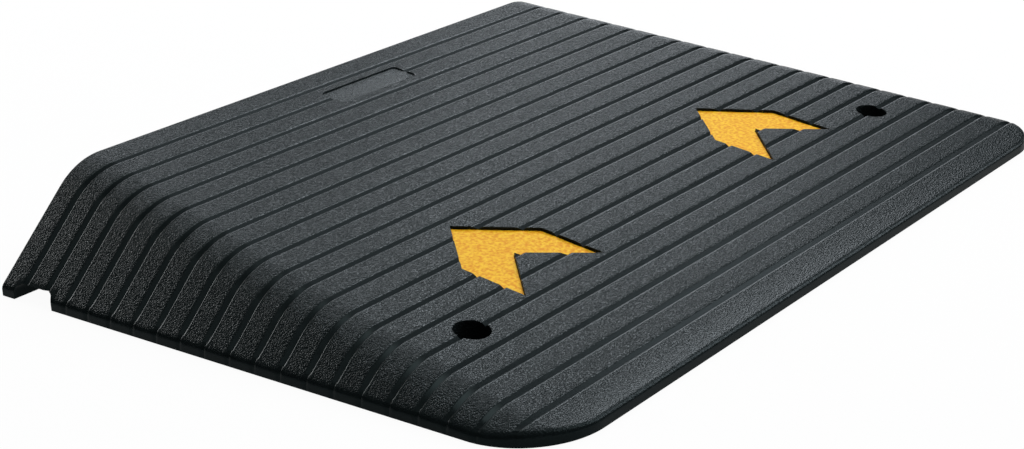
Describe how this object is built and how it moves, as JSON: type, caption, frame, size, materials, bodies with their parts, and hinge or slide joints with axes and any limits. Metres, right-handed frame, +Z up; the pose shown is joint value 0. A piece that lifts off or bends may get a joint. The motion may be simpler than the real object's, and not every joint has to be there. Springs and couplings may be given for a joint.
{
  "type": "rubber kerb ramp",
  "caption": "Moulded rubber wedge ramp for a kerb or doorstep, with cross grooves, flared ends, recessed reflective arrows, anchor holes and a cable channel under the heel.",
  "frame": {"origin": "bottom centre of the ramp, on the ground", "axes": "+X along the kerb, +Y uphill from the toe to the heel, +Z up"},
  "size_m": [0.9, 0.62, 0.1015],
  "materials": {
    "moulded_rubber": "charcoal rubber with a fine pebble grain",
    "reflective_yellow": "golden yellow sheet with a beaded surface"
  },
  "bodies": {
    "root": {"ramp_body": "moulded_rubber", "left_arrow_inlay": "reflective_yellow", "right_arrow_inlay": "reflective_yellow"}
  },
  "joints": []
}
